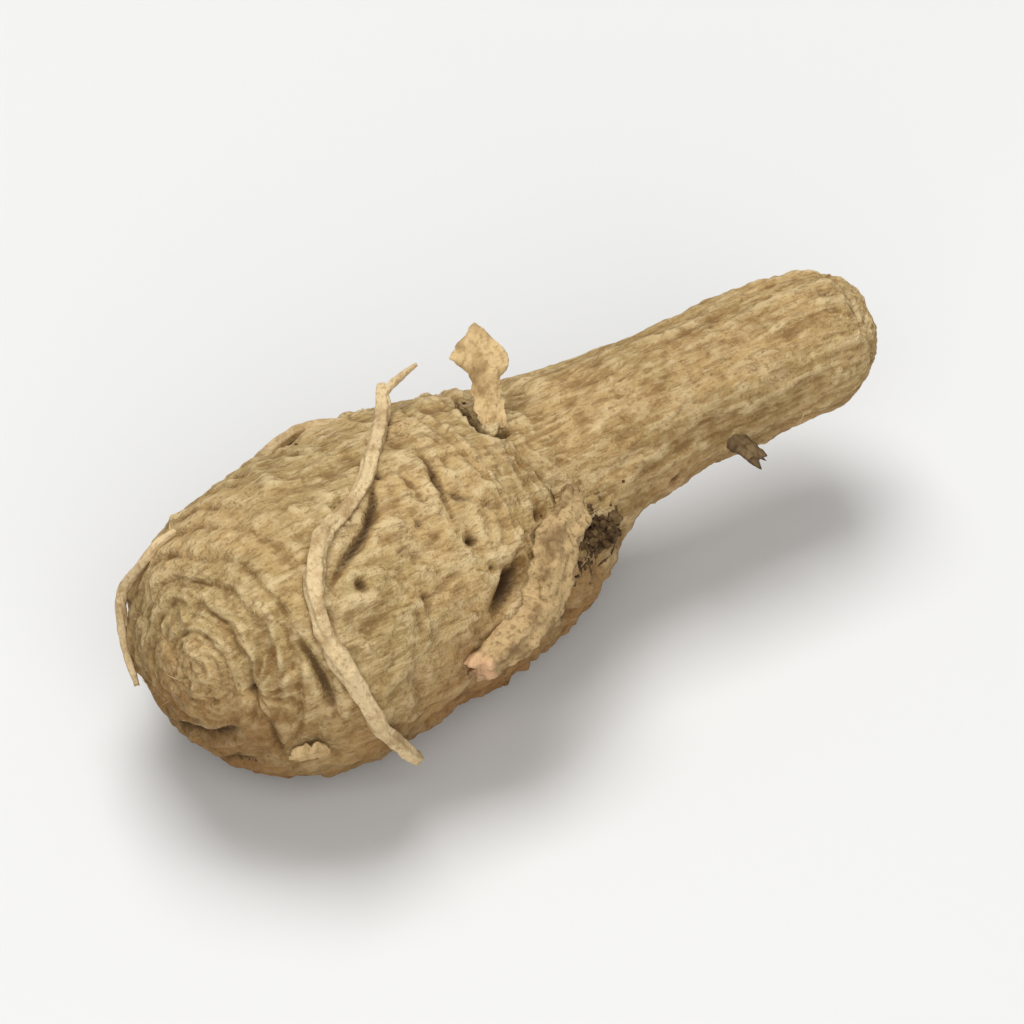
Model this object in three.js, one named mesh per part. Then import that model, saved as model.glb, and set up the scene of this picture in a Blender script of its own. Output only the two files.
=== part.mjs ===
// A dried black turmeric rhizome: a ringed mother bulb that runs into one straight finger,
// with the wiry roots, fibres, root stubs, scale-leaf pieces and soil that still cling to it.
// Millimetres, +Z up. +X runs from the ringed bud end to the tip of the finger. The origin
// is the middle of the footprint, on the surface that the rhizome lies on.
import * as THREE from "three";
import { mergeVertices } from "three/addons/utils/BufferGeometryUtils.js";

// Driving dimensions.
const AROUND = 48; // facets round the rhizome
const ALONG = 58; // facets from the bud to the tip
const BUD_CAP = 1.75; // stations taken by the round bud end
const TIP_CAP = 0.95; // stations taken by the round finger tip
const RING_COUNT = 4; // leaf-scar rings round the bud
const RING_REACH = 2.2; // stations that they cover
const RING_DEPTH = 0.14;
const ROOT_SIDES = 8;
const ROOT_STEP = 3; // a root's steps, in radii
const GAP = 0.35; // between pieces that touch on the real thing
const STATION_LENGTH = 4.7; // from one station to the next
const SCALE_THICKNESS = 0.45;

// The rhizome's middle line, with the half width and half height of its section there.
const STATIONS = [
  { x: -23.1, y: -3.3, z: 9.9, wide: 8.5, high: 8.4 },
  { x: -18.4, y: -2.0, z: 9.2, wide: 8.6, high: 8.4 },
  { x: -13.5, y: -0.9, z: 8.4, wide: 8.7, high: 8.5 },
  { x: -8.7, y: 0.1, z: 7.8, wide: 8.6, high: 8.5 },
  { x: -3.8, y: 0.9, z: 7.3, wide: 8.3, high: 8.0 },
  { x: 0.9, y: 1.1, z: 7.6, wide: 6.9, high: 7.0 },
  { x: 5.5, y: 0.9, z: 9.5, wide: 4.9, high: 4.8 },
  { x: 10.1, y: 0.8, z: 10.3, wide: 4.3, high: 4.4 },
  { x: 14.8, y: 0.7, z: 10.5, wide: 4.3, high: 4.3 },
  { x: 19.3, y: 0.6, z: 10.7, wide: 4.2, high: 4.1 },
  { x: 23.45, y: 0.6, z: 10.8, wide: 3.8, high: 3.7 },
];

// Roots and fibres: places along each, as [station, degrees round from the right-hand side
// over the top, height of the root's middle above the skin].
const ROOTS = {
  root_over_bulb: {
    radius: 0.5,
    finish: "ROOT",
    places: [
      [3.75, 60, 1.7],
      [3.38, 71, 0.95],
      [2.94, 84, 0.85],
      [2.49, 94, 0.85],
      [2.01, 100, 0.85],
      [1.52, 105, 0.85],
      [1.24, 114, 0.85],
      [1.05, 124, 0.85],
      [0.96, 139, 0.85],
      [1.04, 156, 0.85],
      [1.28, 178, 0.85],
      [1.66, 193, 0.95],
      [2.15, 211, 1.5],
    ],
  },
  fibre_beside_bud: {
    radius: 0.32,
    finish: "ROOT",
    places: [
      [1.15, 52, 0.9],
      [0.88, 36, 0.65],
      [0.62, 11, 0.65],
      [0.47, -17, 0.65],
      [0.36, -40, 0.8],
    ],
  },
  root_behind_bulb: {
    radius: 0.42,
    finish: "ROOT",
    places: [
      [3.5, 46, 0.95],
      [3.05, 36, 0.8],
      [2.7, 20, 0.8],
      [2.55, 2, 0.8],
      [2.7, -16, 0.8],
      [3.15, -32, 0.9],
    ],
  },
  root_stub_by_neck: {
    radius: 1.0,
    finish: "BROKEN_ROOT",
    places: [
      [5.3, 144, 1.5],
      [4.5, 146, 1.4],
      [4.07, 153, 1.4],
      [3.7, 162, 1.4],
      [3.3, 168, 1.4],
      [2.7, 174, 1.6],
    ],
  },
};

// Short broken root stubs: where each grows, its length and radius, and its lean along the
// rhizome as a share of its length.
const STUBS = {
  stub_under_finger: { station: 7.5, turn: 186, length: 1.5, radius: 0.5, lean: 0.5 },
  stub_on_back: { station: 4.4, turn: -6, length: 1.55, radius: 0.75, lean: -0.4 },
  stub_on_back_of_bulb: { station: 1.5, turn: -28, length: 1.4, radius: 0.6, lean: 0.3 },
};

// Torn pieces of scale leaf: the size of the blade, the place on the skin where its foot
// is, and how it leans back and turns.
const SCALES = {
  scale_leaf_in_crease: {
    width: 3.3,
    height: 5.7,
    station: 5.2,
    over: 90,
    lift: 0.8,
    lean: 48,
    turn: -32,
  },
  scale_chip_under_bud: {
    width: 1.9,
    height: 1.7,
    station: 0.72,
    over: 200,
    lift: 0.9,
    lean: -34,
    turn: -26,
  },
};

// Soil and fine roots packed into the notch under the neck: its half sizes along the
// rhizome, across it and up, the place where it sits, and how deep its lumps are.
const CLUMP = { half: [1.35, 0.8, 0.95], station: 5.5, over: 176, lift: 1.35, lumps: 0.16 };

const FINISHES = {
  SKIN: { color: 0xb69d6f, roughness: 0.85, metalness: 0 },
  ROOT: { color: 0xcdb489, roughness: 0.75, metalness: 0 },
  BROKEN_ROOT: { color: 0x7d6948, roughness: 0.85, metalness: 0 },
  SCALE_LEAF: { color: 0xc8af86, roughness: 0.7, metalness: 0 },
  SOIL: { color: 0x4b3823, roughness: 0.95, metalness: 0 },
};

const last = STATIONS.length - 1;
const middleLine = new THREE.CatmullRomCurve3(
  STATIONS.map(({ x, y, z }) => new THREE.Vector3(x, y, z)),
  false,
  "catmullrom",
);
const girth = new THREE.CatmullRomCurve3(
  STATIONS.map(({ wide, high }) => new THREE.Vector3(wide, high, 0)),
  false,
  "catmullrom",
);

// A quarter circle: 0 at the pole, 1 from one cap length on.
function roundEnd(share) {
  const inside = THREE.MathUtils.clamp(share, 0, 1);
  return Math.sqrt(1 - (1 - inside) ** 2);
}

// Shallow grooves round the bud, wider apart further out and gone by the bulb's middle.
function ringGroove(station) {
  const ring = RING_COUNT * Math.sqrt(Math.min(station / RING_REACH, 1));
  const fade = 1 - THREE.MathUtils.smoothstep(station, 0.7 * RING_REACH, RING_REACH);
  return RING_DEPTH * fade * Math.cos(2 * Math.PI * ring);
}

// The point at a station and a turn round the middle line, held a height off the skin.
function skinPoint(station, turn, height = 0) {
  const along = THREE.MathUtils.clamp(station / last, 0, 1);
  const centre = middleLine.getPoint(along);
  const forward = middleLine.getTangent(along);
  const side = new THREE.Vector3(0, 0, 1).cross(forward).normalize();
  const up = forward.clone().cross(side);
  const half = girth.getPoint(along);
  const cap = roundEnd(station / BUD_CAP) * roundEnd((last - station) / TIP_CAP);
  const relief = cap * ringGroove(station);
  centre.addScaledVector(side, (half.x * cap + relief + height) * Math.cos(turn));
  centre.addScaledVector(up, (half.y * cap + relief + height) * Math.sin(turn));
  return centre;
}

function named(name, geometry, finish) {
  const mesh = new THREE.Mesh(geometry, new THREE.MeshStandardMaterial(FINISHES[finish]));
  mesh.name = name;
  return mesh;
}

// The bulb and its finger in one skin: a sphere's grid carried along the middle line, and
// pressed flat where it lies on the surface.
function rhizome(name) {
  const geometry = new THREE.SphereGeometry(1, AROUND, ALONG);
  geometry.deleteAttribute("normal");
  geometry.deleteAttribute("uv");
  const skin = mergeVertices(geometry);
  const position = skin.getAttribute("position");
  for (let i = 0; i < position.count; i += 1) {
    const unit = new THREE.Vector3().fromBufferAttribute(position, i);
    const point = skinPoint((last * (1 - unit.y)) / 2, Math.atan2(unit.z, unit.x));
    position.setXYZ(i, point.x, point.y, Math.max(point.z, 0));
  }
  return named(name, skin, "SKIN");
}

// A round section swept along a curve that passes through the points.
function sweep(points, radius) {
  const outline = new THREE.Shape().absarc(0, 0, radius, 0, 2 * Math.PI);
  const path = new THREE.CatmullRomCurve3(points);
  return new THREE.ExtrudeGeometry(outline, {
    curveSegments: ROOT_SIDES,
    steps: Math.ceil(path.getLength() / (ROOT_STEP * radius)),
    bevelEnabled: false,
    extrudePath: path,
  });
}

function root(name, { radius, finish, places }) {
  const points = places.map(([station, degrees, height]) =>
    skinPoint(station, THREE.MathUtils.degToRad(degrees), height),
  );
  return named(name, sweep(points, radius), finish);
}

// A stub stands off the skin by the gap that touching pieces keep, leaning along the rhizome.
function stub(name, { station, turn, length, radius, lean }) {
  const angle = THREE.MathUtils.degToRad(turn);
  const foot = skinPoint(station, angle, GAP);
  const head = skinPoint(station + (lean * length) / STATION_LENGTH, angle, GAP + length);
  const knee = foot.clone().lerp(head, 0.5);
  return named(name, sweep([foot, knee, head], radius), "BROKEN_ROOT");
}

// A torn scale leaf: a stalk that widens into a pointed blade, cut from a thin sheet, with
// its foot held just off the skin.
function scaleLeaf(name, { width, height, station, over, lift, lean, turn }) {
  const outline = new THREE.Shape();
  outline.moveTo(-0.2 * width, 0);
  outline.lineTo(0.25 * width, 0);
  outline.quadraticCurveTo(0.05 * width, 0.3 * height, 0.12 * width, 0.5 * height);
  outline.quadraticCurveTo(0.36 * width, 0.62 * height, 0.18 * width, 0.72 * height);
  outline.lineTo(-0.35 * width, height);
  outline.quadraticCurveTo(-0.7 * width, 0.82 * height, -0.7 * width, 0.62 * height);
  outline.lineTo(-0.42 * width, 0.5 * height);
  outline.lineTo(-0.2 * width, 0);
  const blade = new THREE.ExtrudeGeometry(outline, {
    depth: SCALE_THICKNESS,
    bevelEnabled: false,
    curveSegments: 6,
  });
  const mesh = named(name, blade, "SCALE_LEAF");
  mesh.position.copy(skinPoint(station, THREE.MathUtils.degToRad(over), lift));
  mesh.rotation.order = "ZXY";
  mesh.rotation.x = THREE.MathUtils.degToRad(90 - lean);
  mesh.rotation.z = THREE.MathUtils.degToRad(turn);
  return mesh;
}

// A lumpy ball: the radius swells and sinks with three waves across it.
function clump(name, { half, station, over, lift, lumps }) {
  const geometry = new THREE.IcosahedronGeometry(1, 2);
  geometry.deleteAttribute("normal");
  geometry.deleteAttribute("uv");
  const ball = mergeVertices(geometry);
  const position = ball.getAttribute("position");
  for (let i = 0; i < position.count; i += 1) {
    const unit = new THREE.Vector3().fromBufferAttribute(position, i);
    const wave = Math.sin(4 * unit.x + 1) * Math.cos(5 * unit.y) + Math.sin(6 * unit.z + 2);
    unit.multiplyScalar(1 + (lumps * wave) / 2).multiply(new THREE.Vector3(...half));
    position.setXYZ(i, unit.x, unit.y, unit.z);
  }
  const mesh = named(name, ball, "SOIL");
  mesh.position.copy(skinPoint(station, THREE.MathUtils.degToRad(over), lift));
  return mesh;
}

const group = new THREE.Group();
group.add(rhizome("rhizome"));
for (const [name, shape] of Object.entries(ROOTS)) group.add(root(name, shape));
for (const [name, shape] of Object.entries(STUBS)) group.add(stub(name, shape));
for (const [name, shape] of Object.entries(SCALES)) group.add(scaleLeaf(name, shape));
group.add(clump("soil_clump_by_neck", CLUMP));
export default group;
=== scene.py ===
import math

import bpy
import numpy as np
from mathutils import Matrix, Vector


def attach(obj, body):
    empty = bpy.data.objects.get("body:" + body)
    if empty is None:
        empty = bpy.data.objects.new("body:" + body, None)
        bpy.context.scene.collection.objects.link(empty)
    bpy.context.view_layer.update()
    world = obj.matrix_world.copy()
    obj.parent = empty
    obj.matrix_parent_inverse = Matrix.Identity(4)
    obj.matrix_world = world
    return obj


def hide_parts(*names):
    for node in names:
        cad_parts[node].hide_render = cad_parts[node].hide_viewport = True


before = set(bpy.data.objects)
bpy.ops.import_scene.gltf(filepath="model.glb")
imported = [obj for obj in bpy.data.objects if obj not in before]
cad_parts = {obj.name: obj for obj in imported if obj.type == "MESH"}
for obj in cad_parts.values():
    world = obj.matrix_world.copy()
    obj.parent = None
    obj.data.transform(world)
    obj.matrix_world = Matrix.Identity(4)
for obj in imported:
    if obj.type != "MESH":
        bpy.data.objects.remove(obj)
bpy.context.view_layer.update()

# The camera looks down on the ringed bud and along the finger, from in front and a little to
# the left. A long lens keeps the finger from shrinking as it runs away.
MM = 0.001
VIEW_TURN = math.radians(-32)
VIEW_HEIGHT = math.radians(46)
VIEW_DISTANCE = 0.42
LENS = 268
AIM = Vector((-0.2, -0.2, 8.4)) * MM

towards_camera = Vector(
    (
        math.sin(VIEW_TURN) * math.cos(VIEW_HEIGHT),
        -math.cos(VIEW_TURN) * math.cos(VIEW_HEIGHT),
        math.sin(VIEW_HEIGHT),
    )
)
camera_data = bpy.data.cameras.new("camera")
camera_data.lens = LENS
camera_data.clip_start = 0.01
camera = bpy.data.objects.new("camera", camera_data)
camera.location = AIM + VIEW_DISTANCE * towards_camera
camera.rotation_euler = towards_camera.to_track_quat("Z", "Y").to_euler()
bpy.context.collection.objects.link(camera)
bpy.context.scene.camera = camera


# The rhizome: an egg-shaped mother bulb that runs into one straight finger. It grew in one
# piece and shrivelled as it dried, so its corky skin has leaf-scar rings round the end bud,
# long wrinkles on the finger, creases at the neck and pits where roots broke off.
STATIONS = np.array(
    [
        # middle line x, y, z, half width, half height, in millimetres
        (-23.1, -3.3, 9.9, 8.5, 8.4),
        (-18.4, -2.0, 9.2, 8.6, 8.4),
        (-13.5, -0.9, 8.4, 8.7, 8.5),
        (-8.7, 0.1, 7.8, 8.6, 8.5),
        (-3.8, 0.9, 7.3, 8.3, 8.0),
        (0.9, 1.1, 7.6, 6.9, 7.0),
        (5.5, 0.9, 9.5, 4.9, 4.8),
        (10.1, 0.8, 10.3, 4.3, 4.4),
        (14.8, 0.7, 10.5, 4.3, 4.3),
        (19.3, 0.6, 10.7, 4.2, 4.1),
        (23.45, 0.6, 10.8, 3.8, 3.7),
    ]
)
LAST = len(STATIONS) - 1
# The round ends take up this many stations.
BUD_CAP = 1.75
TIP_CAP = 0.95
# The length of one station and the usual half widths of bulb and finger, in millimetres.
STATION_LENGTH = 4.7
BULB_HALF = 8.5
FINGER_HALF = 4.4
BELLY_ROUNDING = 0.12
SKIN_ROWS = 430
SKIN_AROUND = 228

# The one seeded source of chance. The noise has 256 random slopes, in a shuffled order.
random = np.random.default_rng(11)
DIRECTIONS = random.normal(size=(256, 3))
DIRECTIONS /= np.linalg.norm(DIRECTIONS, axis=1, keepdims=True)
SHUFFLE = random.permutation(256)


def curve_through(rows, place):
    """Point and slope of a Catmull-Rom curve: between two rows, the cubic that meets both and
    leaves each with half the difference of the rows on either side of it."""
    ends = np.vstack([2 * rows[0] - rows[1], rows, 2 * rows[-1] - rows[-2]])
    first = np.clip(np.floor(place).astype(int), 0, len(rows) - 2)
    share = (place - first)[..., None]
    before, start, stop, after = (ends[first + k] for k in range(4))
    leave = (stop - before) / 2
    arrive = (after - start) / 2
    cube = 2 * start - 2 * stop + leave + arrive
    square = 3 * stop - 3 * start - 2 * leave - arrive
    point = ((cube * share + square) * share + leave) * share + start
    slope = (3 * cube * share + 2 * square) * share + leave
    return point, slope


def unit(vector):
    """Vectors divided by their own lengths."""
    return vector / np.maximum(np.linalg.norm(vector, axis=-1, keepdims=True), 1e-9)


def round_end(share):
    """A quarter circle: 0 at the pole, 1 from one cap length on."""
    return np.sqrt(1 - (1 - np.clip(share, 0, 1)) ** 2)


def smooth(low, high, value):
    """A soft step: 0 below low, 1 above high, and an S curve between."""
    share = np.clip((value - low) / (high - low), 0, 1)
    return share * share * (3 - 2 * share)


def plain_skin(station, turn):
    """Point on the unwrinkled skin: the middle line at the station, plus the half width times
    the cosine of the turn to the side and the half height times its sine upwards."""
    station = np.clip(station, 0, LAST)
    middle, slope = curve_through(STATIONS, station)
    forward = unit(slope[..., :3])
    side = unit(np.cross((0, 0, 1), forward))
    up = np.cross(forward, side)
    cap = round_end(station / BUD_CAP) * round_end((LAST - station) / TIP_CAP)
    across = (middle[..., 3] * cap * np.cos(turn))[..., None] * side
    return middle[..., :3] + across + (middle[..., 4] * cap * np.sin(turn))[..., None] * up


def skin_normal(station, turn):
    """Outward direction: the cross product of the steps round the skin and along it."""
    step = 0.004
    station = np.clip(station, 3 * step, LAST - 3 * step)
    along = plain_skin(station + step, turn) - plain_skin(station - step, turn)
    around = plain_skin(station, turn + step) - plain_skin(station, turn - step)
    return unit(np.cross(around, along))


def noise(point, seed=0):
    """Smooth noise, about -1 to 1: on each corner of a unit lattice a random slope, and between
    the corners their heights blended by a quintic S curve."""
    cell = np.floor(point).astype(int)
    part = point - cell
    fade = part**3 * (part * (part * 6 - 15) + 10)
    total = np.zeros(point.shape[:-1])
    for corner in np.ndindex(2, 2, 2):
        i, j, k = np.moveaxis((cell + corner) & 255, -1, 0)
        pick = SHUFFLE[(SHUFFLE[(SHUFFLE[(i + seed) & 255] + j) & 255] + k) & 255]
        weight = np.prod(np.where(corner, fade, 1 - fade), axis=-1)
        total += weight * np.sum(DIRECTIONS[pick] * (part - corner), axis=-1)
    return 1.7 * total


def layered(point, layers, seed=0):
    """Noise on noise: each layer has twice the pitch and 0.55 times the height of the last."""
    return sum(0.55**n * noise(point * 2**n, seed + 7 * n) for n in range(layers))


def ridges(point, seed=0):
    """Crests where smooth noise passes through zero, from 0 in the valleys to 1: half a sharp
    fold, and half its S curve, which rounds the crest and the valley."""
    fold = 1 - np.minimum(np.abs(noise(point, seed)) * 2.0, 1)
    return 0.5 * fold + 0.5 * fold * fold * (3 - 2 * fold)


def route_on_skin(places, samples):
    """Points of a smooth route through places given as (station, degrees round)."""
    rows = np.array(places, float)
    route, _ = curve_through(rows, np.linspace(0, len(rows) - 1, samples))
    return plain_skin(route[:, 0], np.radians(route[:, 1]))


def nearness(points, route, width):
    """1 on a route and falling off as a bell of the given width, thinning out to its ends: the
    distance is to the nearest point of each straight stretch."""
    best = np.zeros(points.shape[:-1])
    for number, (start, stop) in enumerate(zip(route[:-1], route[1:])):
        run = stop - start
        share = np.clip((points - start) @ run / (run @ run), 0, 1)
        distance = np.linalg.norm(points - start - share[..., None] * run, axis=-1)
        strength = np.sin(math.pi * (number + share) / (len(route) - 1)) ** 0.6
        reach = width * (0.5 + 0.5 * strength)
        best = np.maximum(best, strength * np.exp(-((distance / reach) ** 2)))
    return best


def spot(points, station, degrees, radius):
    """A bell round one place on the skin, 1 at its middle."""
    at = plain_skin(np.array(station, float), math.radians(degrees))
    return np.exp(-((np.linalg.norm(points - at, axis=-1) / radius) ** 2))


# The middle of the leaf-scar rings, and the dimple beside them that the skin gathers round.
BUD = plain_skin(np.array(0.04), math.radians(108))
DIMPLE = plain_skin(np.array(0.25), math.radians(154))
RING_PITCH = 1.45
RING_HEIGHT = 0.26
GROOVE_WIDTH = 0.19
GROOVE_DEPTH = 0.15
CREASES = [
    # places as (station, degrees round), then width and depth in millimetres
    (((2.75, 92), (2.55, 98), (2.37, 104), (1.97, 112), (1.53, 117.5), (1.16, 125)), 0.4, 0.62),
    (((0.7, 132), (0.74, 140), (0.8, 156), (0.86, 168), (0.92, 178)), 0.34, 0.5),
    (((4.98, 54), (4.85, 73), (4.64, 91), (4.71, 99)), 0.42, 1.15),
    (((4.68, 97), (5.0, 99), (5.46, 94.5)), 0.38, 0.85),
    (((3.34, 92), (3.3, 98), (3.21, 111), (3.12, 125)), 0.3, 0.5),
    (((3.22, 110), (3.36, 117), (3.55, 122.5)), 0.28, 0.38),
    (((2.95, 86), (2.98, 104), (2.95, 119)), 0.26, 0.24),
    (((3.75, 147), (3.45, 154), (3.15, 163)), 0.62, 1.15),
    (((4.45, 166), (4.0, 172), (3.4, 180), (2.8, 184)), 0.5, 0.5),
    (((5.5, 152), (5.45, 165), (5.55, 180), (5.7, 200)), 0.6, 0.6),
    (((4.9, 205), (4.6, 188), (4.8, 172)), 0.5, 0.45),
    (((5.9, 250), (5.5, 262), (5.4, 280), (5.6, 300)), 0.5, 0.35),
    (((4.5, 40), (4.7, 20), (4.6, 0), (4.9, -18)), 0.45, 0.45),
    (((3.0, 52), (2.7, 44), (2.8, 30)), 0.35, 0.35),
    (((5.3, 30), (5.5, 8), (5.3, -12)), 0.38, 0.3),
    (((0.4, 300), (0.2, 275), (0.12, 250), (0.13, 215), (0.18, 184)), 0.55, 0.85),
    (((0.75, 290), (0.5, 262), (0.42, 235), (0.4, 208)), 0.6, 0.5),
    (((0.28, 168), (0.36, 186), (0.45, 200), (0.6, 208)), 0.3, 0.4),
    (((9.42, 112), (9.52, 124), (9.5, 136), (9.4, 148)), 0.2, 0.34),
]
PITS = [
    # station, degrees round, radius, depth, height of the rim
    (1.6, 127, 0.5, 0.4, 0.16),
    (3.2, 133, 0.34, 0.6, 0.05),
    (3.3, 145, 0.26, 0.3, 0.03),
    (4.47, 136, 0.34, 0.26, 0.05),
    (0.25, 154, 0.4, 0.4, 0.0),
    (2.3, 143, 0.32, 0.26, 0.06),
    (2.75, 118, 0.26, 0.22, 0.05),
    (2.78, 93, 0.3, 0.4, 0.05),
    (2.4, 60, 0.4, 0.3, 0.1),
    (3.6, 40, 0.45, 0.4, 0.12),
    (2.1, 5, 0.5, 0.45, 0.14),
    (3.3, -8, 0.4, 0.35, 0.1),
    (1.4, -40, 0.45, 0.4, 0.12),
    (2.5, 232, 0.4, 0.35, 0.1),
    (3.6, 215, 0.45, 0.4, 0.12),
    (6.6, 190, 0.38, 0.35, 0.1),
    (7.5, 186, 0.45, 0.3, 0.12),
    (7.9, 20, 0.35, 0.3, 0.1),
    (6.9, 250, 0.35, 0.3, 0.1),
    (8.8, 300, 0.3, 0.25, 0.08),
]


def skin_arc(station, turn, radius):
    """Places on a straight round bar, as far along as the station and at the given radius, so
    that noise drawn out along the bar makes wrinkles that run along the skin."""
    along = STATION_LENGTH * station
    return np.stack([along, radius * np.cos(turn), radius * np.sin(turn)], axis=-1)


def skin_relief(points, station, turn):
    """Height of the dried skin above the plain one, in millimetres, and masks from 0 to 1 for
    its colours: the sum of lumps, rings, wrinkles, creases and pits."""
    finger = smooth(4.9, 6.3, station)
    bulb = 1 - finger
    neck = smooth(2.6, 3.9, station) * (1 - smooth(5.2, 6.6, station))
    # Two slow noises push the rings and wrinkles out of true.
    warp = np.stack([layered(points / 3.1, 2, 31), layered(points / 3.1, 2, 57)], axis=-1)
    height = 0.42 * noise(points / 6.5, 3) + 0.17 * bulb * layered(points / 2.6, 2, 9)

    # Leaf-scar rings: low steps round the bud, each with a groove at its foot that comes and
    # goes, and finer rings between them.
    reach = np.maximum(np.linalg.norm(points - BUD, axis=-1) + 0.55 * warp[..., 0], 0)
    ring = reach / RING_PITCH + 0.7
    phase = ring - np.floor(ring)
    hidden_side = smooth(-0.1, 0.7, np.cos(turn + 0.35))
    ring_fade = smooth(0.7, 2.6, reach) * (1 - smooth(7.0, 11.0, reach - 7.5 * hidden_side))
    broken_up = smooth(-0.3, 0.35, noise(points / 1.7, 33) + 0.15)
    foot = (phase - 0.1) / GROOVE_WIDTH
    next_foot = (phase - 1.1) / GROOVE_WIDTH
    groove = (np.exp(-(foot**2)) + np.exp(-(next_foot**2))) * (0.25 + 0.75 * broken_up)
    step = (1 - phase) ** 1.3 * smooth(0.0, 0.25, phase)
    height += ring_fade * (RING_HEIGHT * step - GROOVE_DEPTH * groove)
    fine_ring = np.cos(2 * math.pi * (2.6 * ring + 0.9 * warp[..., 1]))
    height += 0.05 * fine_ring * smooth(0.1, 0.6, reach) * (1 - smooth(5.0, 8.0, reach))

    # The bud is a low, knobbly dome whose lower lip is tucked in.
    height += (0.1 + 0.22 * layered(points / 0.9, 2, 37)) * np.exp(-((reach / 1.7) ** 2))
    tucked = smooth(0.3, 2.6, BUD[2] - points[..., 2] - 2.4) * (1 - smooth(4.5, 7.0, reach))
    height -= 0.3 * tucked

    # Skin gathered round the dimple, on the side away from the bud.
    offset = points - DIMPLE
    spread = np.linalg.norm(offset, axis=-1)
    bearing = np.arctan2(offset[..., 2], 0.75 * offset[..., 0] - 0.66 * offset[..., 1])
    pleats = np.cos(15 * bearing + 3.5 * warp[..., 1] + 2.5 * noise(points / 1.3, 38))
    pleat_fade = smooth(0.4, 1.0, spread) * (1 - smooth(2.2, 3.8, spread))
    pleat_fade = pleat_fade * smooth(-0.5, 0.5, np.cos(bearing))
    height += 0.1 * pleats * pleat_fade - 0.22 * np.exp(-((spread / 1.1) ** 2))

    # Wrinkles: long ones down the finger, a loose net on the bulb, and folds across the neck.
    # On the round tip they shrink towards its pole, so they don't bunch up there.
    tip = round_end((LAST - station) / TIP_CAP)
    arc = skin_arc(station, turn, FINGER_HALF * tip)
    long_folds = ridges(arc * (0.13, 0.5, 0.5) + 0.2 * warp[..., :1], 21)
    fine_folds = noise(arc * (0.28, 1.6, 1.6) + 0.3 * warp[..., 1:], 22)
    hair_folds = ridges(arc * (0.22, 2.3, 2.3) + 0.4 * warp[..., :1], 27)
    height += finger * (0.19 * long_folds + 0.07 * fine_folds + 0.09 * hair_folds - 0.15)
    bud_end = round_end(station / BUD_CAP)
    bulb_arc = skin_arc(station, turn, BULB_HALF * bud_end)
    long_net = ridges(bulb_arc * (0.17, 0.52, 0.52) + 0.45 * warp[..., :1], 23)
    fine_net = ridges(bulb_arc * (0.34, 1.05, 1.05) + 0.4 * warp[..., 1:], 24)
    loose_net = ridges(points / 2.1 + 0.3 * warp[..., :1], 26)
    net = 0.2 * long_net**1.5 + 0.12 * fine_net + 0.07 * loose_net - 0.15
    height += bulb * (1 - 0.65 * ring_fade) * net
    cross_folds = ridges(arc * (0.95, 0.28, 0.28) + 0.4 * warp[..., :1], 25)
    height += neck * (0.19 * cross_folds + 0.07 * noise(points / 0.7, 28) - 0.1)

    # Low swellings where the finger's leaves grew, and one ring just before its tip.
    nodes = np.cos(2 * math.pi * (station - 6.55 + 0.1 * warp[..., 0]) / 1.08)
    height += 0.05 * finger * (np.maximum(nodes, 0.0) ** 4 - 0.3)
    tip_ring = np.exp(-(((station - 9.55 + 0.05 * warp[..., 0]) / 0.05) ** 2))
    height -= 0.12 * tip_ring * finger

    # Grain: the gritty, shrunken surface of the cork itself, with small warts.
    grain = layered(points / 0.95, 3, 41)
    warts = smooth(0.42, 0.75, noise(points / 0.8, 43)) * smooth(-0.1, 0.4, warp[..., 0])
    height += 0.08 * grain + 0.11 * warts

    # Each crease is a groove along its route, between low lips. Each pit has a raised rim.
    creased = np.zeros(points.shape[:-1])
    for places, width, depth in CREASES:
        near = nearness(points, route_on_skin(places, 16), width)
        wide = nearness(points, route_on_skin(places, 8), 2.6 * width)
        height += depth * (0.16 * wide - near * (1 + 0.35 * grain))
        creased = np.maximum(creased, near * min(1, 0.22 + depth))
    for at, degrees, radius, depth, rim in PITS:
        bell = spot(points, at, degrees, radius)
        collar = np.clip(spot(points, at, degrees, 1.9 * radius) - bell, 0, 1)
        height += 1.6 * rim * collar - depth * bell
        creased = np.maximum(creased, bell * min(1, 0.4 + depth))
    # Masks for painted shade: in the creases and pits, in the ring grooves and in the pleats'
    # valleys.
    masks = {
        "creased": creased,
        "ring": np.clip(ring_fade * groove, 0, 1),
        "gathered": np.clip(pleat_fade * (0.5 - 0.5 * pleats), 0, 1),
    }
    return height, masks


def settle(points):
    """The belly flattened where it lies: each height z becomes half of z plus the root of z
    squared and the square of the rounding, which never falls below the surface."""
    settled = points.copy()
    z = points[..., 2]
    settled[..., 2] = (z + np.sqrt(z * z + BELLY_ROUNDING**2)) / 2
    return settled


def dried_skin(station, turn, lift=0.0):
    """Points on the wrinkled skin, raised off it by a height in millimetres."""
    base = plain_skin(station, turn)
    height, _ = skin_relief(base, station, turn)
    return settle(base + (height + lift)[..., None] * skin_normal(station, turn))


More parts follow.
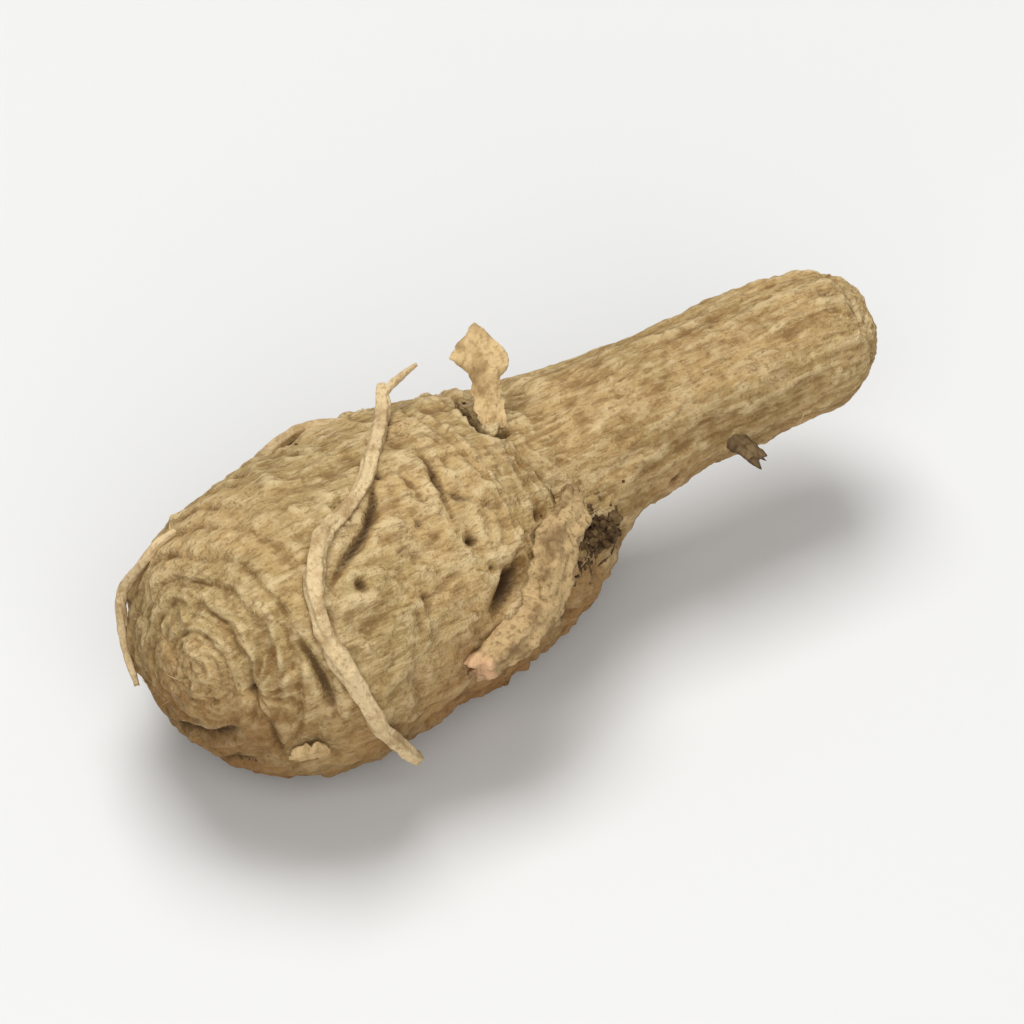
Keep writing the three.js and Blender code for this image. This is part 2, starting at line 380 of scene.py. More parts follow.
def tube_mesh(name, rings, attributes=()):
    """A mesh of closed tubes from rings of points in millimetres, indexed by tube, ring and
    point. Each end ring is closed by a fan to its middle. An attribute has a value a point."""
    rings = rings.reshape(-1, *rings.shape[-3:])
    count, rows, around, _ = rings.shape
    middles = rings[:, [0, -1]].mean(axis=2)
    vertices = np.concatenate([rings.reshape(count, -1, 3), middles], axis=1) * MM
    place = np.arange(rows * around).reshape(rows, around)
    following = np.roll(place, -1, axis=1)
    sides = np.stack([place[:-1], following[:-1], following[1:], place[1:]], axis=-1)
    start = np.stack([following[0], place[0], np.full(around, rows * around)], axis=-1)
    stop = np.stack([place[-1], following[-1], np.full(around, rows * around + 1)], axis=-1)
    first = (np.arange(count) * (rows * around + 2))[:, None, None]
    quads = (sides.reshape(1, -1, 4) + first).reshape(-1, 4)
    fans = (np.vstack([start, stop])[None] + first).reshape(-1, 3)
    mesh = bpy.data.meshes.new(name)
    mesh.from_pydata(vertices.reshape(-1, 3).tolist(), [], quads.tolist() + fans.tolist())
    for attribute, values in dict(attributes).items():
        ends = [values[0].mean(), values[-1].mean()]
        layer = mesh.attributes.new(attribute, "FLOAT", "POINT")
        layer.data.foreach_set("value", np.append(values.ravel(), ends).astype(np.float32))
    mesh.polygons.foreach_set("use_smooth", np.ones(len(mesh.polygons), bool))
    mesh.update()
    return mesh


def place_piece(name, mesh, finish, node=None):
    """Puts a mesh in the scene as a piece that rides on the rhizome's one body, in place of its
    CAD node where it has one."""
    piece = bpy.data.objects.new(name, mesh)
    bpy.context.collection.objects.link(piece)
    mesh.materials.append(finish)
    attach(piece, "root")
    if node:
        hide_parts(node)


class Wire:
    """A shader socket that takes part in Python sums: each operator adds its Math node."""

    def __init__(self, finish, socket):
        self.finish = finish
        self.socket = socket

    def sum(self, operation, other):
        return self.finish.node("ShaderNodeMath", {"operation": operation}, {0: self, 1: other})

    def __add__(self, other):
        return self.sum("ADD", other)

    def __mul__(self, other):
        return self.sum("MULTIPLY", other)

    __radd__ = __add__
    __rmul__ = __mul__


class Finish:
    """One dry plant surface: a material and the nodes that give it colour and grain."""

    def __init__(self, name, roughness=0.8, specular=0.25):
        self.material = bpy.data.materials.new(name)
        self.material.use_nodes = True
        self.tree = self.material.node_tree
        self.shader = self.tree.nodes["Principled BSDF"]
        self.shader.inputs["Roughness"].default_value = roughness
        self.shader.inputs["Specular IOR Level"].default_value = specular

    def node(self, kind, settings, sockets, output=0):
        """Adds a node: its settings first, then a value or a link for each socket."""
        node = self.tree.nodes.new(kind)
        for setting, value in settings.items():
            setattr(node, setting, value)
        for key, value in sockets.items():
            if isinstance(value, Wire):
                self.tree.links.new(value.socket, node.inputs[key])
            else:
                node.inputs[key].default_value = value
        return Wire(self, node.outputs[output])

    def feed(self, name, wire):
        """Links a wire to a socket of the surface shader."""
        self.tree.links.new(wire.socket, self.shader.inputs[name])

    def place(self, stretch=(1, 1, 1)):
        """Object coordinates in millimetres, stretched for a grain that runs one way."""
        here = self.node("ShaderNodeTexCoord", {}, {}, "Object")
        scale = tuple(1000 * s for s in stretch)
        return self.node("ShaderNodeMapping", {}, {"Vector": here, "Scale": scale})

    def read(self, attribute):
        """The mesh's own value at each point."""
        return self.node("ShaderNodeAttribute", {"attribute_name": attribute}, {}, "Fac")

    def cloud(self, at, pitch, detail=3, roughness=0.55):
        """Noise from 0 to 1 whose blotches are pitch millimetres apart."""
        sockets = {"Vector": at, "Scale": 1 / pitch, "Detail": detail, "Roughness": roughness}
        return self.node("ShaderNodeTexNoise", {}, sockets, "Fac")

    def between(self, wire, low, high):
        """0 at low and 1 at high, by a soft step. It runs downwards where low is the larger."""
        settings = {"interpolation_type": "SMOOTHSTEP", "clamp": True}
        sockets = {"Value": wire, "From Min": low, "From Max": high}
        return self.node("ShaderNodeMapRange", settings, sockets)

    def blend(self, share, first, second):
        """The first colour, giving way to the second as the share goes from 0 to 1."""
        settings = {"data_type": "RGBA", "clamp_factor": True}
        # Sockets 0, 6 and 7 are a colour mix's factor and its two colours, and output 2 its result.
        return self.node("ShaderNodeMix", settings, {0: share, 6: first, 7: second}, 2)

    def raise_grain(self, height, distance):
        """A bump of the given height in millimetres where the wire is 1."""
        sockets = {"Height": height, "Distance": distance * MM, "Strength": 1.0}
        self.feed("Normal", self.node("ShaderNodeBump", {}, sockets))


def srgb(red, green, blue):
    """A colour given as 0 to 255 on screen, turned into the light it stands for."""
    screen = np.array([red, green, blue]) / 255
    light = np.where(screen <= 0.04045, screen / 12.92, ((screen + 0.055) / 1.055) ** 2.4)
    return (*light.tolist(), 1.0)


TAN = srgb(189, 159, 108)
PALE_TAN = srgb(216, 192, 146)
OLIVE_TAN = srgb(168, 143, 94)
BROWN = srgb(124, 93, 54)
DEEP_BROWN = srgb(58, 38, 19)
# Warm browns for painted shade, on shaded skin and towards the bottom.
WARM_SHADE_BROWN = srgb(139, 95, 50)
LOW_SHADE_TAN = srgb(152, 116, 70)


def skin_finish():
    """Tan cork, blotched: paler crests as a painted highlight, and brown painted shade in the
    hollows, creases, pits and ring grooves, on shaded skin and low down.
    """
    finish = Finish("rhizome_skin", specular=0.2)
    here = finish.place()
    blotch = finish.cloud(here, 5.0, 3)
    patch = finish.cloud(here, 1.9, 4, 0.6)
    mottle = finish.cloud(here, 0.8, 4, 0.65)
    speck = finish.cloud(here, 0.36, 3, 0.6)
    grain = finish.cloud(here, 0.15, 3, 0.65)
    streak = finish.cloud(finish.place((0.14, 1, 1)), 0.55, 3, 0.6)
    dash = finish.cloud(finish.place((0.28, 1, 1)), 0.24, 3, 0.6)
    creased = finish.read("creased")
    hollow_shading = finish.read("hollow_shading")
    ring = finish.read("ring")
    low = finish.read("low")
    shaded = finish.read("shaded")

    layers = (
        # the share of each colour, in the order in which one goes over another
        (finish.between(patch, 0.5, 0.72) * 0.6, PALE_TAN),
        (finish.between(mottle, 0.52, 0.68) * 0.42, BROWN),
        (finish.between(mottle, 0.46, 0.3) * 0.55, PALE_TAN),
        # Painted highlight on the crests and painted shade in the hollows.
        (finish.between(hollow_shading, 0.46, 0.05) * 0.75, PALE_TAN),
        (finish.between(hollow_shading, 0.56, 0.95) * 0.75, BROWN),
        (finish.between(streak, 0.53, 0.66) * 0.5, BROWN),
        (finish.between(streak, 0.46, 0.32) * 0.5, PALE_TAN),
        (finish.between(dash, 0.54, 0.66) * 0.5, BROWN),
        (finish.between(dash, 0.45, 0.33) * 0.35, PALE_TAN),
        (finish.between(speck, 0.57, 0.69) * 0.5, BROWN),
        # Painted shade in the grooves of the leaf-scar rings.
        (ring * (0.08 + patch * 0.5), BROWN),
        # Painted shade: shaded skin turns brown and warm brown.
        (shaded * (0.05 + patch * 0.7), BROWN),
        (shaded * finish.between(mottle, 0.44, 0.58) * 0.5, WARM_SHADE_BROWN),
        # Painted shade: darker and browner towards the bottom.
        (low * 0.75, LOW_SHADE_TAN),
        (low * (0.1 + mottle * 1.2), BROWN),
        (low * finish.between(blotch + patch * 0.5, 0.62, 0.86) * 0.65, WARM_SHADE_BROWN),
        (low * finish.between(mottle + patch * 0.6, 0.86, 1.0) * 0.6, DEEP_BROWN),
        # Painted shade in the creases and pits.
        (finish.between(creased, 0.25, 0.9) * 0.92, DEEP_BROWN),
    )
    colour = finish.blend(finish.between(blotch, 0.36, 0.62), OLIVE_TAN, TAN)
    for share, tone in layers:
        colour = finish.blend(share, colour, tone)
    finish.feed("Base Color", colour)
    finish.feed("Roughness", 0.8 + patch * 0.16)
    finish.raise_grain(speck * 0.6 + grain * 0.5 + mottle * 0.6 + streak * 0.6 + dash * 0.5, 0.23)
    return finish.material


# Rows lie closer together towards the poles, and the end rows stop just short of them.
POLE_GAP = 0.012
sweep = np.linspace(POLE_GAP, math.pi - POLE_GAP, SKIN_ROWS)
skin_station = LAST * (1 - np.cos(sweep)) / 2
skin_turn = np.linspace(0, 2 * math.pi, SKIN_AROUND, endpoint=False)
station_grid, turn_grid = np.meshgrid(skin_station, skin_turn, indexing="ij")
plain = plain_skin(station_grid, turn_grid)
relief, skin_masks = skin_relief(plain, station_grid, turn_grid)
wrinkled = settle(plain + relief[..., None] * skin_normal(station_grid, turn_grid))

# Hollows lie below the average of the skin round them, and crests above; hollows get painted
# shade and crests a painted highlight. The bulb's have to be deeper than the finger's to be as
# dark or as pale.
HOLLOW_REACH = 6
shifts = range(-HOLLOW_REACH, HOLLOW_REACH + 1)
local_mean = np.mean([np.roll(relief, shift, axis=1) for shift in shifts], axis=0)
padded = np.pad(local_mean, ((HOLLOW_REACH, HOLLOW_REACH), (0, 0)), mode="edge")
starts = range(2 * HOLLOW_REACH + 1)
local_mean = np.mean([padded[start : start + SKIN_ROWS] for start in starts], axis=0)
hollow_depth = 0.46 - 0.14 * smooth(4.5, 6.0, station_grid)
skin_masks["hollow_shading"] = np.clip(0.5 + (local_mean - relief) / hollow_depth, 0, 1)

# Low skin is painted darker and browner towards the bottom, as painted shade. Shaded skin is
# browner, as painted shade: the bud's low side, the neck, the near half of the finger and the
# valleys of the pleats round the dimple.
uneven_height = wrinkled[..., 2] + 1.8 * noise(plain / 3.3, 91)
low_fade = 0.6 * smooth(1.5, 7.5, uneven_height) + 0.4 * smooth(6.0, 13.0, uneven_height)
skin_masks["low"] = 1 - low_fade
shaded = spot(plain, 0.12, 265, 3.6) + 0.9 * spot(plain, 0.3, 196, 1.8)
shaded += 0.5 * spot(plain, 5.0, 120, 2.6)
shaded += 0.3 * smooth(5.0, 7.0, station_grid) * (1 - smooth(8.0, 10.0, station_grid))
skin_masks["shaded"] = np.clip(shaded + 0.8 * skin_masks.pop("gathered"), 0, 1)

skin_mesh = tube_mesh("rhizome_skin", wrinkled, skin_masks)
place_piece("rhizome_skin", skin_mesh, skin_finish(), "rhizome")


# Wiry roots and fibres that dried onto the bulb, of pale, straw-coloured bark with ridges
# along it and torn ends. The longest one lies over the bulb, and the others grow out of it.
STRAW = srgb(212, 187, 143)
STRAW_SHADE = srgb(158, 127, 83)
ROOT_SIDES = 30
FORK_SIDES = 14
ROWS_PER_PLACE = 14
TORN_ROWS = 6


def root_rings(route, radii, sides, bark=0.13, torn=0.6, seed=0):
    """Rings carried along a smooth route: each is a circle of the radius given there, square to
    the route. Its radius is varied by ridges and fine lines that run along the root, by lumps
    and by ring wrinkles, and the last rings are pushed forwards and back, so the end is torn."""
    rows = np.column_stack([route, radii])
    steps = ROWS_PER_PLACE * len(route)
    middle, slope = curve_through(rows, np.linspace(0, len(rows) - 1, steps))
    forward = unit(slope[:, :3])
    side = unit(np.cross((0.12, 0.2, 1.0), forward))
    up = np.cross(forward, side)
    turn = np.linspace(0, 2 * math.pi, sides, endpoint=False)
    spoke = np.cos(turn)[:, None] * side[:, None] + np.sin(turn)[:, None] * up[:, None]
    swell = 1 + 0.14 * noise(middle[:, :3] / 1.3, 70 + seed)
    radius = middle[:, 3:, None] * swell[:, None, None]
    at = middle[:, None, :3] + radius * spoke
    strides = np.diff(middle[:, :3], axis=0, prepend=middle[:1, :3])
    length = np.cumsum(np.linalg.norm(strides, axis=1))
    along, around = np.meshgrid(length, turn, indexing="ij")
    lines = np.stack([0.45 * along, 2.2 * np.cos(around), 2.2 * np.sin(around)], axis=-1)
    wrinkle = ridges(np.stack([length / 0.55, length * 0, length * 0], axis=-1), 73 + seed)
    rough = 1 + bark * np.cos(5 * around + 0.5 * along + seed)
    rough += 1.3 * bark * noise(lines, 60 + seed) + 1.2 * bark * noise(at / 0.55, 66 + seed)
    rough += 0.35 * bark * wrinkle[:, None]
    end = smooth(steps - TORN_ROWS, steps - 1, np.arange(steps, dtype=float))[:, None]
    rough *= 1 - 0.12 * end
    fray = torn * end * radius[..., 0] * noise(2.1 * spoke + seed + 0.5, 64)
    outwards = radius * rough[..., None] * spoke
    return middle[:, None, :3] + outwards + fray[..., None] * forward[:, None]


def root_finish(name, colour, shade, end_colour=None, stretch=(1, 1, 1)):
    """Dry bark, leaf or soil: its colour, turning to its shade in blotches and in specks that
    may be drawn out into veins. A root with an end colour also has a broken part and a part
    darkened to deep brown."""
    finish = Finish(name, roughness=0.78)
    patch = finish.cloud(finish.place(), 1.4, 3)
    speck = finish.cloud(finish.place(stretch), 0.3, 3, 0.6)
    tone = finish.blend(finish.between(patch, 0.42, 0.7) * 0.75, colour, shade)
    tone = finish.blend(finish.between(speck, 0.5, 0.68) * 0.6, tone, shade)
    if end_colour:
        tone = finish.blend(finish.read("broken") * (0.4 + patch * 0.9), tone, end_colour)
        tone = finish.blend(finish.read("darkened") * (0.5 + patch * 0.8), tone, DEEP_BROWN)
    finish.feed("Base Color", tone)
    finish.raise_grain(speck + patch * 0.5, 0.18)
    return finish.material


pale_root = root_finish("pale_root", STRAW, STRAW_SHADE)
PALE_ROOTS = {
    # CAD node: places as (station, degrees round, height above the skin), and radii
    "root_over_bulb": (
        (
            (3.72, 61, 1.7),
            (3.55, 66, 0.75),
            (3.38, 71, 0.35),
            (2.94, 84, 0.2),
            (2.49, 94, 0.12),
            (2.01, 100, 0.14),
            (1.52, 105, 0.26),
            (1.24, 113.5, 0.36),
            (1.05, 123.5, 0.42),
            (0.96, 138.5, 0.42),
            (1.02, 151, 0.42),
            (1.13, 164, 0.4),
            (1.3, 178, 0.45),
            (1.6, 191, 0.62),
            (1.9, 203, 0.9),
            (2.12, 211, 1.3),
        ),
        (0.3, 0.4, 0.42, 0.4, 0.38, 0.42, 0.46, 0.5, 0.46, 0.5, 0.52, 0.48, 0.46, 0.42, 0.38, 0.3),
    ),
    "fibre_beside_bud": (
        (
            (0.95, 45, -0.25),
            (0.8, 39, 0.2),
            (0.66, 30, 0.26),
            (0.62, 8, 0.28),
            (0.5, -14, 0.3),
            (0.37, -38, 0.5),
        ),
        (0.2, 0.25, 0.27, 0.28, 0.26, 0.15),
    ),
    "root_behind_bulb": (
        (
            (3.5, 46, -0.3),
            (3.05, 36, 0.25),
            (2.7, 20, 0.3),
            (2.55, 2, 0.32),
            (2.7, -16, 0.36),
            (3.15, -32, 0.7),
        ),
        (0.28, 0.36, 0.37, 0.35, 0.32, 0.2),
    ),
}
for number, (node, (places, radii)) in enumerate(PALE_ROOTS.items()):
    stations, degrees, lifts = np.array(places, float).T
    route = dried_skin(stations, np.radians(degrees), lifts)
    rings = root_rings(route, radii, ROOT_SIDES, seed=number)
    place_piece(node + "_fibre", tube_mesh(node + "_fibre", rings), pale_root, node)

# The long root forks just before its broken upper end.
fork_route = dried_skin(
    np.array([3.5, 3.62, 3.9, 4.25]),
    np.radians([67, 64, 62, 60]),
    np.array([0.6, 1.1, 1.7, 2.1]),
)
fork_rings = root_rings(fork_route, (0.22, 0.24, 0.2, 0.12), FORK_SIDES, seed=6)
fork_mesh = tube_mesh("root_over_bulb_fork", fork_rings)
place_piece("root_over_bulb_fork", fork_mesh, pale_root)


# The thick root that broke off beside the neck, and the short stubs of others. Their bark is
# tan, blotched with brown, and their broken ends show pale, pinkish wood. The stub under the
# finger is darkened to deep brown.
ROOT_BARK = srgb(186, 158, 112)
ROOT_BARK_SHADE = srgb(108, 81, 48)
BROKEN_WOOD = srgb(206, 164, 126)
THICK_SIDES = 60
STUB_SIDES = 34


def bark_masks(rings, reach, darkened):
    """Broken rises from 0 to 1 over the last rows of a root, as many as the reach, and is less
    the darker the root is. Darkened, its share of deep brown, is the same all over the root."""
    rows, around, _ = rings.shape
    along = smooth(rows - 1 - reach, rows - 1, np.arange(rows, dtype=float))
    return {
        "broken": (1 - darkened) * np.repeat(along[:, None], around, axis=1),
        "darkened": np.full((rows, around), darkened),
    }


broken_root = root_finish("broken_root", ROOT_BARK, ROOT_BARK_SHADE, BROKEN_WOOD)
thick_places = np.array(
    [
        # station, degrees round, height above the skin
        (5.55, 142, -0.5),
        (5.25, 144.5, 0.45),
        (4.9, 145.5, 0.75),
        (4.47, 146.5, 0.85),
        (4.07, 153, 0.9),
        (3.75, 162, 0.85),
        (3.55, 165, 0.8),
        (3.3, 168, 0.85),
        (3.0, 172.5, 0.8),
        (2.68, 174.5, 0.85),
    ]
)
thick_radii = (0.6, 0.8, 0.95, 1.0, 1.1, 1.12, 0.82, 1.0, 0.92, 0.85)
thick_route = dried_skin(thick_places[:, 0], np.radians(thick_places[:, 1]), thick_places[:, 2])
thick_rings = root_rings(thick_route, thick_radii, THICK_SIDES, bark=0.14, torn=1.1, seed=4)
thick_masks = bark_masks(thick_rings, reach=8, darkened=0.0)
thick_mesh = tube_mesh("root_stub_by_neck", thick_rings, thick_masks)
place_piece("root_stub_by_neck_bark", thick_mesh, broken_root, "root_stub_by_neck")

STUBS = {
    # CAD node: station, degrees round, length, radius, lean along the rhizome, tear, darkness
    "stub_under_finger": (7.5, 186, 1.5, 0.55, 0.3, 2.2, 0.85),
    "stub_on_back": (4.4, -6, 1.6, 0.75, -0.4, 1.3, 0.0),
    "stub_on_back_of_bulb": (1.5, -28, 1.45, 0.6, 0.3, 1.3, 0.15),
}
# Each stub starts inside the rhizome and narrows upwards: shares of its length and radius.
STUB_CLIMB = np.array([-0.5, 0.0, 0.45, 0.8, 1.0])
STUB_TAPER = np.array([1.25, 1.2, 0.95, 0.85, 0.8])
for number, (node, stub) in enumerate(STUBS.items()):
    station, degrees, length, radius, lean, tear, darkness = stub
    stub_turn = np.radians([degrees])
    head_station = np.array([station + lean * length / STATION_LENGTH])
    foot = dried_skin(np.array([station]), stub_turn)
    head = plain_skin(head_station, stub_turn) + length * skin_normal(head_station, stub_turn)
    route = foot + STUB_CLIMB[:, None] * (head - foot)
    radii = radius * STUB_TAPER
    rings = root_rings(route, radii, STUB_SIDES, bark=0.16, torn=tear, seed=8 + number)
    mesh = tube_mesh(node, rings, bark_masks(rings, reach=7, darkened=darkness))
    place_piece(node + "_bark", mesh, broken_root, node)


# Torn scale leaves: papery blades that once wrapped the shoot. One stands out of the slit
# behind the neck on its narrow stalk, and a chip of another clings under the bud.
LEAF = srgb(204, 175, 126)
LEAF_SHADE = srgb(148, 116, 72)
LEAF_ROWS = 60
LEAF_COLUMNS = 30
FOOT_HALF_THICKNESS = 0.1
TOP_HALF_THICKNESS = 0.05
STALKED_EDGES = (
    # share of the height, then the left and right edges as shares of the width
    (0.0, -0.2, 0.25),
    (0.18, -0.3, 0.16),
    (0.35, -0.36, 0.12),
    (0.5, -0.44, 0.1),
    (0.57, -0.62, 0.2),
    (0.65, -0.72, 0.27),
    (0.75, -0.68, 0.17),
    (0.86, -0.56, -0.06),
    (0.94, -0.47, -0.22),
    (1.0, -0.38, -0.32),
)
CHIP_EDGES = (
    (0.0, -0.35, 0.3),
    (0.2, -0.55, 0.5),
    (0.6, -0.5, 0.55),
    (0.85, -0.3, 0.3),
    (1.0, -0.1, 0.15),
)
SCALES = {
    # CAD node: edges, width, height, station, degrees round, lift, lean back, turn
    "scale_leaf_in_crease": (STALKED_EDGES, 3.3, 5.7, 5.15, 91, -0.1, 48, -32),
    "scale_chip_under_bud": (CHIP_EDGES, 2.0, 1.5, 0.72, 200, 0.3, -14, -26),
}


def leaf_sheet(edges, width, height):
    """A blade on a grid of two shares, up and across: its edges follow straight stretches
    between the given rows and are torn by noise. Parabolas bow it across and up, and noise
    gives it crinkles and, drawn out upwards, veins."""
    up, across = np.meshgrid(
        np.linspace(0, 1, LEAF_ROWS), np.linspace(-1, 1, LEAF_COLUMNS), indexing="ij"
    )
    shares, lefts, rights = np.array(edges).T
    left = np.interp(up, shares, lefts)
    right = np.interp(up, shares, rights)
    torn = 0.07 * layered(np.stack([up * 8, np.sign(across) * 3, across * 0], axis=-1), 3, 77)
    x = width * (left + (right - left) * (across + 1) / 2 + torn * np.abs(across))
    z = height * (up + 0.03 * across * np.sin(9 * up))
    bow = 0.1 * width * (across**2 - 0.5) * smooth(0.3, 0.7, up) + 0.1 * height * (up - 0.45) ** 2
    veins = 0.035 * width * layered(np.stack([3.2 * x, 0.3 * z, 0 * x], axis=-1), 2, 79)
    crinkle = veins + 0.06 * width * layered(np.stack([x, z, 0 * x], axis=-1) / 1.3, 2, 78)
    return np.stack([x, bow + crinkle, z], axis=-1)


def turned(points, lean, turn):
    """Points leaned back about X, then turned about Z, both in degrees."""
    lean, turn = math.radians(lean), math.radians(turn)
    x, y, z = np.moveaxis(points, -1, 0)
    back = y * math.cos(lean) + z * math.sin(lean)
    high = z * math.cos(lean) - y * math.sin(lean)
    sideways = x * math.cos(turn) - back * math.sin(turn)
    deep = x * math.sin(turn) + back * math.cos(turn)
    return np.stack([sideways, deep, high], axis=-1)


scale_leaf = root_finish("scale_leaf", LEAF, LEAF_SHADE, stretch=(1, 1, 0.2))
for node, (edges, width, height, station, degrees, lift, lean, turn) in SCALES.items():
    foot = dried_skin(np.array([station]), np.radians([degrees]), np.array([lift]))[0]
    sheet = foot + turned(leaf_sheet(edges, width, height), lean, turn)
    front = turned(np.array([0.0, -1.0, 0.0]), lean, turn)
    # Front and back of the blade make one closed loop of points for each row, half a thickness
    # away from its middle.
    half = np.linspace(FOOT_HALF_THICKNESS, TOP_HALF_THICKNESS, LEAF_ROWS)[:, None, None]
    loop = np.concatenate([sheet + half * front, sheet[:, ::-1] - half * front], axis=1)
    mesh = tube_mesh(node, loop)
    place_piece(node + "_blade", mesh, scale_leaf, node)


# Dark soil, dry and crumbly, that the roots held on to: one clump in the notch under the neck
# and crumbs caught in the creases of the skin. Each grain is a rough little ball.
SOIL = srgb(70, 50, 28)
SOIL_PALE = srgb(128, 102, 64)
# The notch as a station and degrees round, then sizes in millimetres.
NOTCH_PLACE = (5.5, 173.0)
CLUMP_HALF = np.array([1.2, 0.7, 0.9])
CLUMP_GRAINS = 240
CRUMBS = 240
LOWEST_CRUMB = 0.6


def lumpy_balls(middles, radii, rows, around, lumps, seed):
    """Balls as rings of points round the X axis: a half circle turned into a ball, stretched to
    three radii, and each point moved out or in by the lumps' share of noise."""
    polar = math.pi * (np.arange(rows) + 0.5) / rows
    turn = np.linspace(0, 2 * math.pi, around, endpoint=False)
    polar, turn = np.meshgrid(polar, turn, indexing="ij")
    ball = np.stack(
        [-np.cos(polar), np.sin(polar) * np.cos(turn), np.sin(polar) * np.sin(turn)], axis=-1
    )
    at = middles[:, None, None] + radii[:, None, None] * ball
    largest = radii.max(axis=-1)[:, None, None, None]
    swell = 1 + lumps * layered(at / (0.9 * largest), 2, seed)
    return middles[:, None, None] + radii[:, None, None] * ball * swell[..., None]


soil_finish = root_finish("neck_soil", SOIL, SOIL_PALE)
notch_station, notch_degrees = NOTCH_PLACE
notch = dried_skin(np.array([notch_station]), np.radians([notch_degrees]), np.array([0.1]))
away = unit(random.normal(size=(CLUMP_GRAINS, 3)))
away = away * random.uniform(0.8, 1.3, (CLUMP_GRAINS, 1))
grain_half = random.uniform(0.08, 0.3, (CLUMP_GRAINS, 1))
grain_half = grain_half * random.uniform(0.6, 1.5, (CLUMP_GRAINS, 3))
clump_middles = np.vstack([notch, notch + CLUMP_HALF * away])
clump_radii = np.vstack([CLUMP_HALF, grain_half])
clump = lumpy_balls(clump_middles, clump_radii, rows=6, around=8, lumps=0.34, seed=83)
clump_mesh = tube_mesh("soil_clump", clump)
place_piece("soil_clump", clump_mesh, soil_finish, "soil_clump_by_neck")

along_skin = unit(np.gradient(wrinkled, axis=0))
around_skin = unit(np.roll(wrinkled, -1, axis=1) - np.roll(wrinkled, 1, axis=1))
off_skin = unit(np.cross(around_skin, along_skin))
near_notch = spot(plain, 5.4, 168, 2.2)
above_floor = wrinkled[..., 2] > LOWEST_CRUMB
caught = (skin_masks["creased"] ** 3 + 1.2 * near_notch**2) * above_floor
picks = random.choice(caught.size, CRUMBS, replace=False, p=caught.ravel() / caught.sum())
crumb_size = random.uniform(0.03, 0.1, (CRUMBS, 1)) + 0.12 * near_notch.ravel()[picks, None]
crumb_half = crumb_size * random.uniform(0.6, 1.5, (CRUMBS, 3))
crumb_middles = wrinkled.reshape(-1, 3)[picks]
crumbs = lumpy_balls(crumb_middles, crumb_half, rows=5, around=7, lumps=0.3, seed=84)
place_piece("soil_crumbs", tube_mesh("soil_crumbs", crumbs), soil_finish)


# Hair roots, finer than thread: a tuft in the notch under the neck, most of it dark with soil,
# a few over the rest of the skin, and the fibres that the old leaves left along their rings.
HAIR_STEPS = 9
HAIR_SIDES = 5
# The share of its length that a hair starts under the skin.
HAIR_ROOT = 0.06


def hairs_on_skin(weight, count, lengths, radius, rise):
    """Curved hairs, picked by weight: each starts just under the skin along a straight line
    that rises by the given share of its length, and the square of the distance bends it aside
    and back down. Its radius falls evenly to a point."""
    picks = random.choice(weight.size, count, replace=False, p=weight.ravel() / weight.sum())
    foot, along, around, out = (
        grid.reshape(-1, 3)[picks] for grid in (wrinkled, along_skin, around_skin, off_skin)
    )
    heading = random.uniform(0, 2 * math.pi, (count, 1))
    level = np.cos(heading) * along + np.sin(heading) * around
    sideways = np.cross(out, level)
    length = random.uniform(*lengths, (count, 1))
    bend = random.uniform(-0.6, 0.6, (count, 1)) * sideways - 0.75 * rise * out
    share = np.linspace(-HAIR_ROOT, 1, HAIR_STEPS)[None, :, None]
    straight = level + rise * out
    route = foot[:, None] + length[:, None] * (share * straight[:, None] + share**2 * bend[:, None])
    forward = unit(np.gradient(route, axis=1))
    side = unit(np.cross(np.array([0.3, 0.2, 0.93]), forward))
    up = np.cross(forward, side)
    turn = np.linspace(0, 2 * math.pi, HAIR_SIDES, endpoint=False)[:, None]
    thin = radius * random.uniform(0.7, 1.3, (count, 1, 1, 1)) * (1.02 - np.abs(share[..., None]))
    spoke = np.cos(turn) * side[:, :, None] + np.sin(turn) * up[:, :, None]
    return route[:, :, None] + thin * spoke


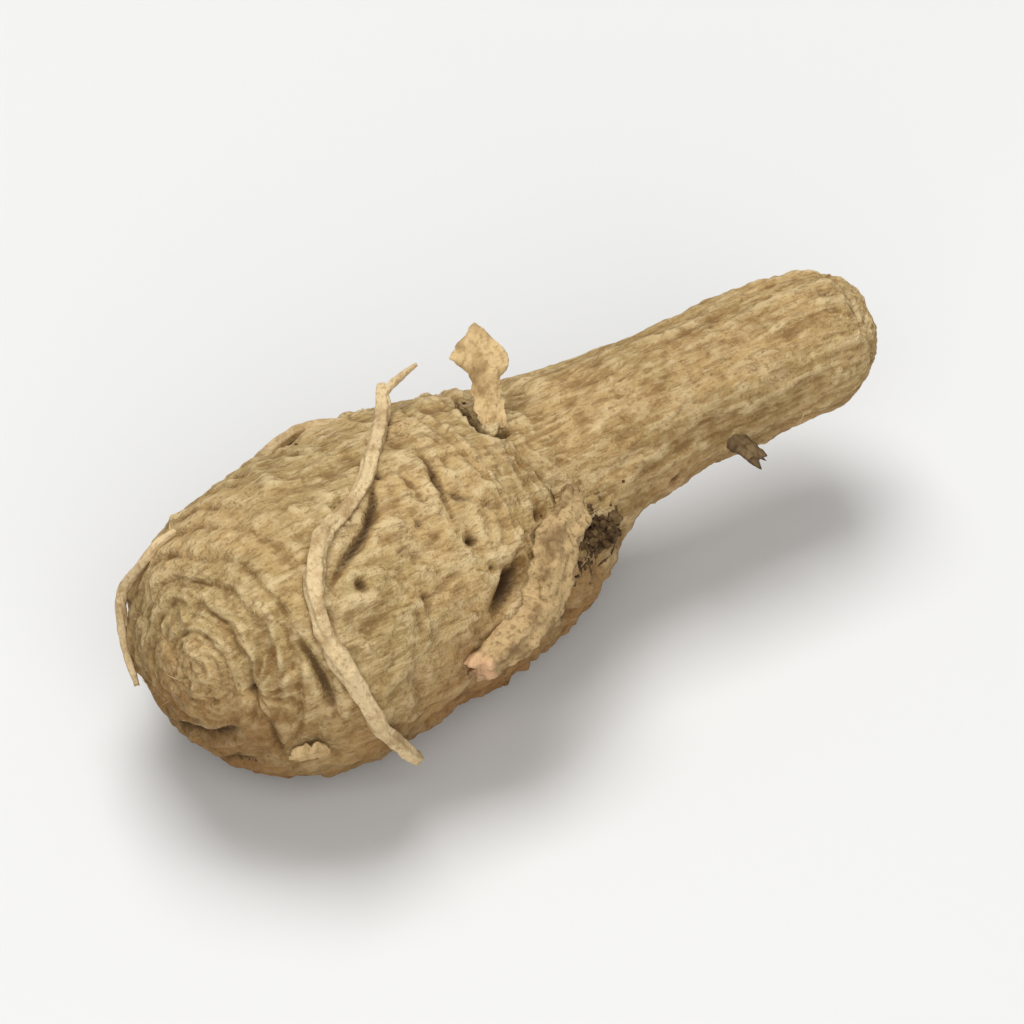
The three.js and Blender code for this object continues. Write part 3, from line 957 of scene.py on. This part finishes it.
notch_weight = near_notch**3
tuft = hairs_on_skin(notch_weight, count=56, lengths=(0.5, 1.4), radius=0.06, rise=0.5)
place_piece("root_tuft", tube_mesh("root_tuft", tuft), soil_finish)
stray_weight = (0.05 + skin_masks["creased"]) * above_floor
strays = hairs_on_skin(stray_weight, count=22, lengths=(0.5, 1.5), radius=0.028, rise=0.12)
ring_weight = (skin_masks["ring"] ** 2 + 1e-6) * above_floor
frayed = hairs_on_skin(ring_weight, count=14, lengths=(0.4, 0.9), radius=0.035, rise=0.06)
pale_tuft = hairs_on_skin(notch_weight, count=9, lengths=(0.7, 1.4), radius=0.06, rise=0.5)
hairs = np.concatenate([strays, frayed, pale_tuft])
place_piece("hair_roots", tube_mesh("hair_roots", hairs), pale_root)


# A pale floor and soft studio light from above, so that every wrinkle reads.
FLOOR_HALF = 0.6
FLOOR_COLOUR = (0.68, 0.68, 0.67, 1)
ROOM_LIGHT = 0.25
corners = [(FLOOR_HALF * x, FLOOR_HALF * y, 0) for x, y in ((-1, -1), (1, -1), (1, 1), (-1, 1))]
floor_mesh = bpy.data.meshes.new("floor")
floor_mesh.from_pydata(corners, [], [(0, 1, 2, 3)])
floor = bpy.data.objects.new("floor", floor_mesh)
bpy.context.collection.objects.link(floor)
floor_finish = Finish("floor", roughness=0.6)
floor_finish.shader.inputs["Base Color"].default_value = FLOOR_COLOUR
floor_mesh.materials.append(floor_finish.material)


def soft_light(name, place, size, watts):
    """A square lamp at a place, facing the rhizome."""
    lamp = bpy.data.lights.new(name, "AREA")
    lamp.size = size
    lamp.energy = watts
    light = bpy.data.objects.new(name, lamp)
    light.location = place
    light.rotation_euler = (Vector(place) - AIM).to_track_quat("Z", "Y").to_euler()
    bpy.context.collection.objects.link(light)


soft_light("key_light", place=(0.03, 0.15, 0.5), size=0.3, watts=2.3)
soft_light("fill_light", place=(-0.2, -0.42, 0.36), size=0.6, watts=2.7)
world = bpy.data.worlds.new("studio")
world.use_nodes = True
world.node_tree.nodes["Background"].inputs["Color"].default_value = (1, 1, 1, 1)
world.node_tree.nodes["Background"].inputs["Strength"].default_value = ROOM_LIGHT
bpy.context.scene.world = world
bpy.context.scene.view_settings.view_transform = "Standard"
